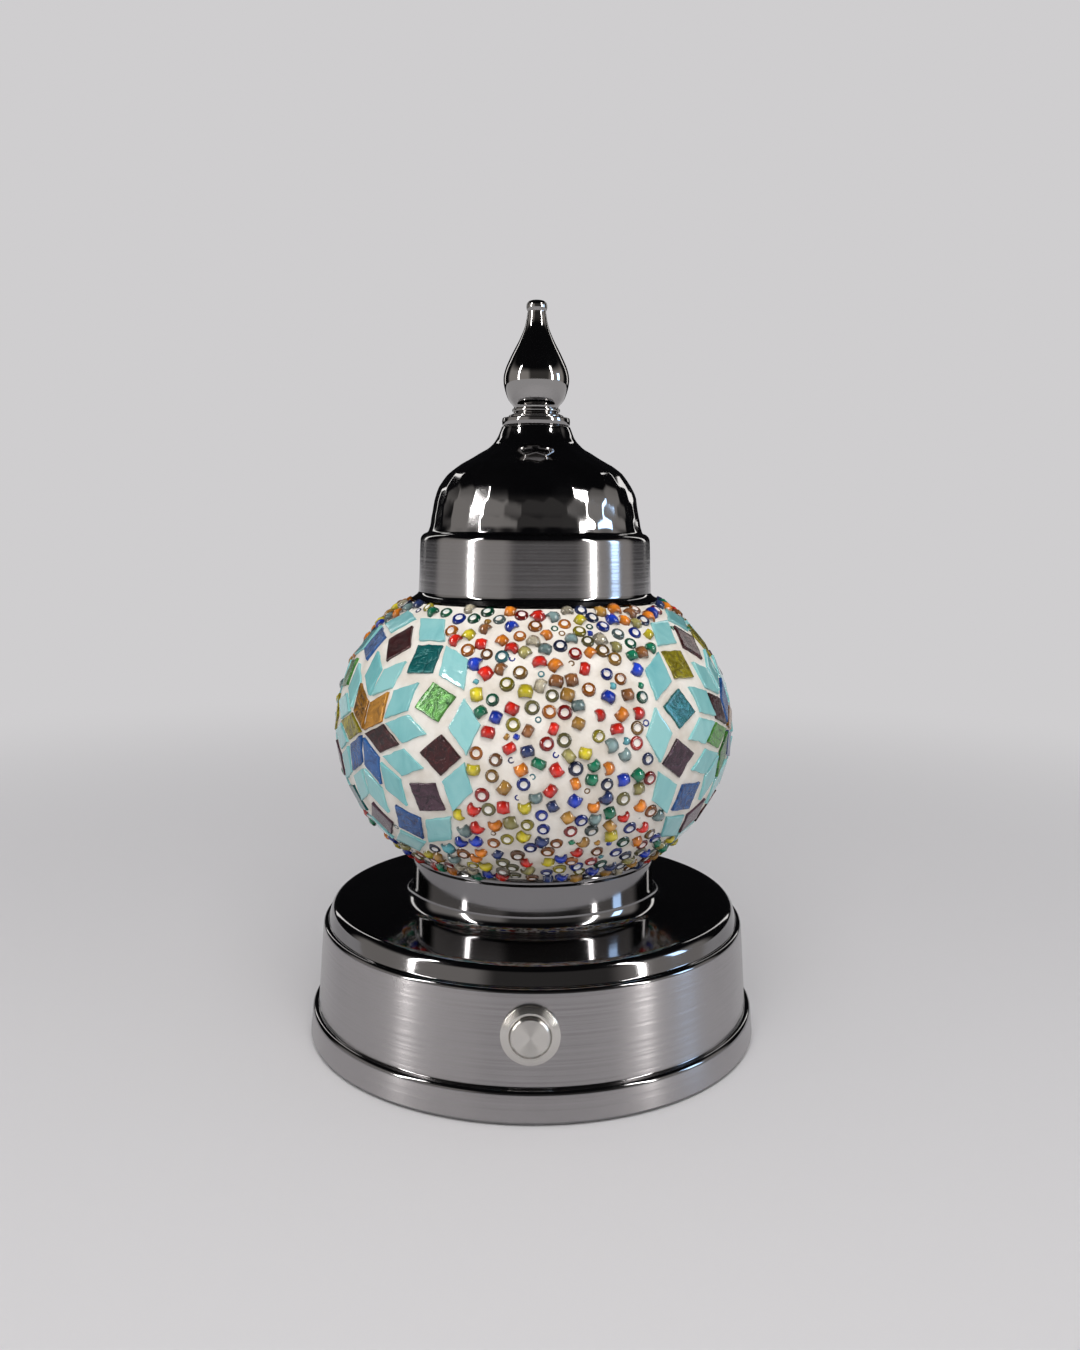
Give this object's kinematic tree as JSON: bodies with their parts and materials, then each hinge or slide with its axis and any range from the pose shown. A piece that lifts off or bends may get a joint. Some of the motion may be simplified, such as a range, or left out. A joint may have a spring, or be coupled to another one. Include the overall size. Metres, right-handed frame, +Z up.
{
  "type": "mosaic glass table lamp",
  "caption": "Cordless table lamp: mosaic glass globe clamped between a spun metal base with a push switch and a hammered domed cap with a turned finial.",
  "frame": {"origin": "centre of the base, on the surface that the lamp stands on", "axes": "+Z up along the lamp's axis; the switch is on the -Y side"},
  "size_m": [0.1558, 0.1558, 0.25],
  "materials": {
    "base_plate": "moulded",
    "base_shell": "black nickel plated, spun and polished",
    "battery_cells": "printed sleeve, plain",
    "battery_contacts": "nickel plated",
    "battery_door": "moulded",
    "battery_lead": "insulated wire",
    "battery_springs": "nickel plated",
    "cap_gasket": "translucent silicone",
    "cap_shell": "black nickel plated, hammered and polished",
    "clamp_bar": "zinc plated",
    "clamp_nut": "zinc plated",
    "clamp_stud": "zinc plated",
    "finial": "black nickel plated, turned and polished",
    "finial_insert": "turned",
    "finial_washer": "black nickel plated, turned",
    "gallery_plate": "zinc plated",
    "globe_glass": "clear blown glass",
    "globe_grout": "matt white plaster",
    "globe_seat_ring": "soft white silicone",
    "led_board": "white solder mask",
    "led_chips": "phosphor",
    "led_diffuser": "frosted",
    "led_holder": "turned",
    "led_holder_screws": "zinc plated",
    "mounting_lugs": "plain",
    "plate_screws": "zinc plated",
    "return_lead": "insulated wire",
    "rubber_feet": "moulded",
    "switch_body": "stainless steel, turned",
    "switch_button": "stainless steel, turned",
    "switch_gasket": "moulded",
    "switch_insulator": "moulded",
    "switch_lead": "insulated wire",
    "switch_lock_washer": "zinc plated",
    "switch_nut": "nickel plated",
    "switch_spring": "stainless wire",
    "switch_terminals": "stamped",
    "tiles_amber": "foil-backed glass",
    "tiles_blue": "foil-backed glass",
    "tiles_green": "foil-backed glass",
    "tiles_maroon": "opaque glass",
    "tiles_olive": "foil-backed glass",
    "tiles_teal": "opaque glass",
    "tiles_turquoise_inner": "opaque cathedral glass",
    "tiles_turquoise_outer": "opaque cathedral glass",
    "tiles_violet": "opaque glass"
  },
  "bodies": {
    "lamp": {"base_plate": "base_plate", "base_shell": "base_shell", "battery_cells": "battery_cells", "battery_contacts": "battery_contacts", "battery_lead": "battery_lead", "battery_springs": "battery_springs", "cap_gasket": "cap_gasket", "cap_shell": "cap_shell", "clamp_bar": "clamp_bar", "clamp_nut": "clamp_nut", "clamp_stud": "clamp_stud", "finial_washer": "finial_washer", "gallery_plate": "gallery_plate", "globe_glass": "globe_glass", "globe_grout": "globe_grout", "globe_seat_ring": "globe_seat_ring", "led_board": "led_board", "led_chips": "led_chips", "led_diffuser": "led_diffuser", "led_holder": "led_holder", "led_holder_screws": "led_holder_screws", "mounting_lugs": "mounting_lugs", "plate_screws": "plate_screws", "return_lead": "return_lead", "rubber_feet": "rubber_feet", "switch_body": "switch_body", "switch_gasket": "switch_gasket", "switch_insulator": "switch_insulator", "switch_lead": "switch_lead", "switch_lock_washer": "switch_lock_washer", "switch_nut": "switch_nut", "switch_spring": "switch_spring", "switch_terminals": "switch_terminals", "tiles_amber": "tiles_amber", "tiles_blue": "tiles_blue", "tiles_green": "tiles_green", "tiles_maroon": "tiles_maroon", "tiles_olive": "tiles_olive", "tiles_teal": "tiles_teal", "tiles_turquoise_inner": "tiles_turquoise_inner", "tiles_turquoise_outer": "tiles_turquoise_outer", "tiles_violet": "tiles_violet"},
    "finial": {"finial": "finial", "finial_insert": "finial_insert"},
    "button": {"switch_button": "switch_button"},
    "battery_door": {"battery_door": "battery_door"}
  },
  "joints": [
    {"name": "button_press", "type": "slide", "parent": "lamp", "child": "button", "axis": [0, 0.9974, -0.0717], "range_m": [0, 0.0018], "stiffness_N_per_m": 400, "springref_m": -0.002, "deforming": ["switch_spring"]},
    {"name": "door_hinge", "type": "hinge", "parent": "lamp", "child": "battery_door", "pos_m": [0, 0.03645, 0.0032], "axis": [1, 0, 0], "range_deg": [0, 90]},
    {"name": "finial_turn", "type": "hinge", "parent": "lamp", "child": "finial", "pos_m": [0, 0, 0.2115], "axis": [0, 0, 1], "range_deg": [0, 1440]}
  ]
}
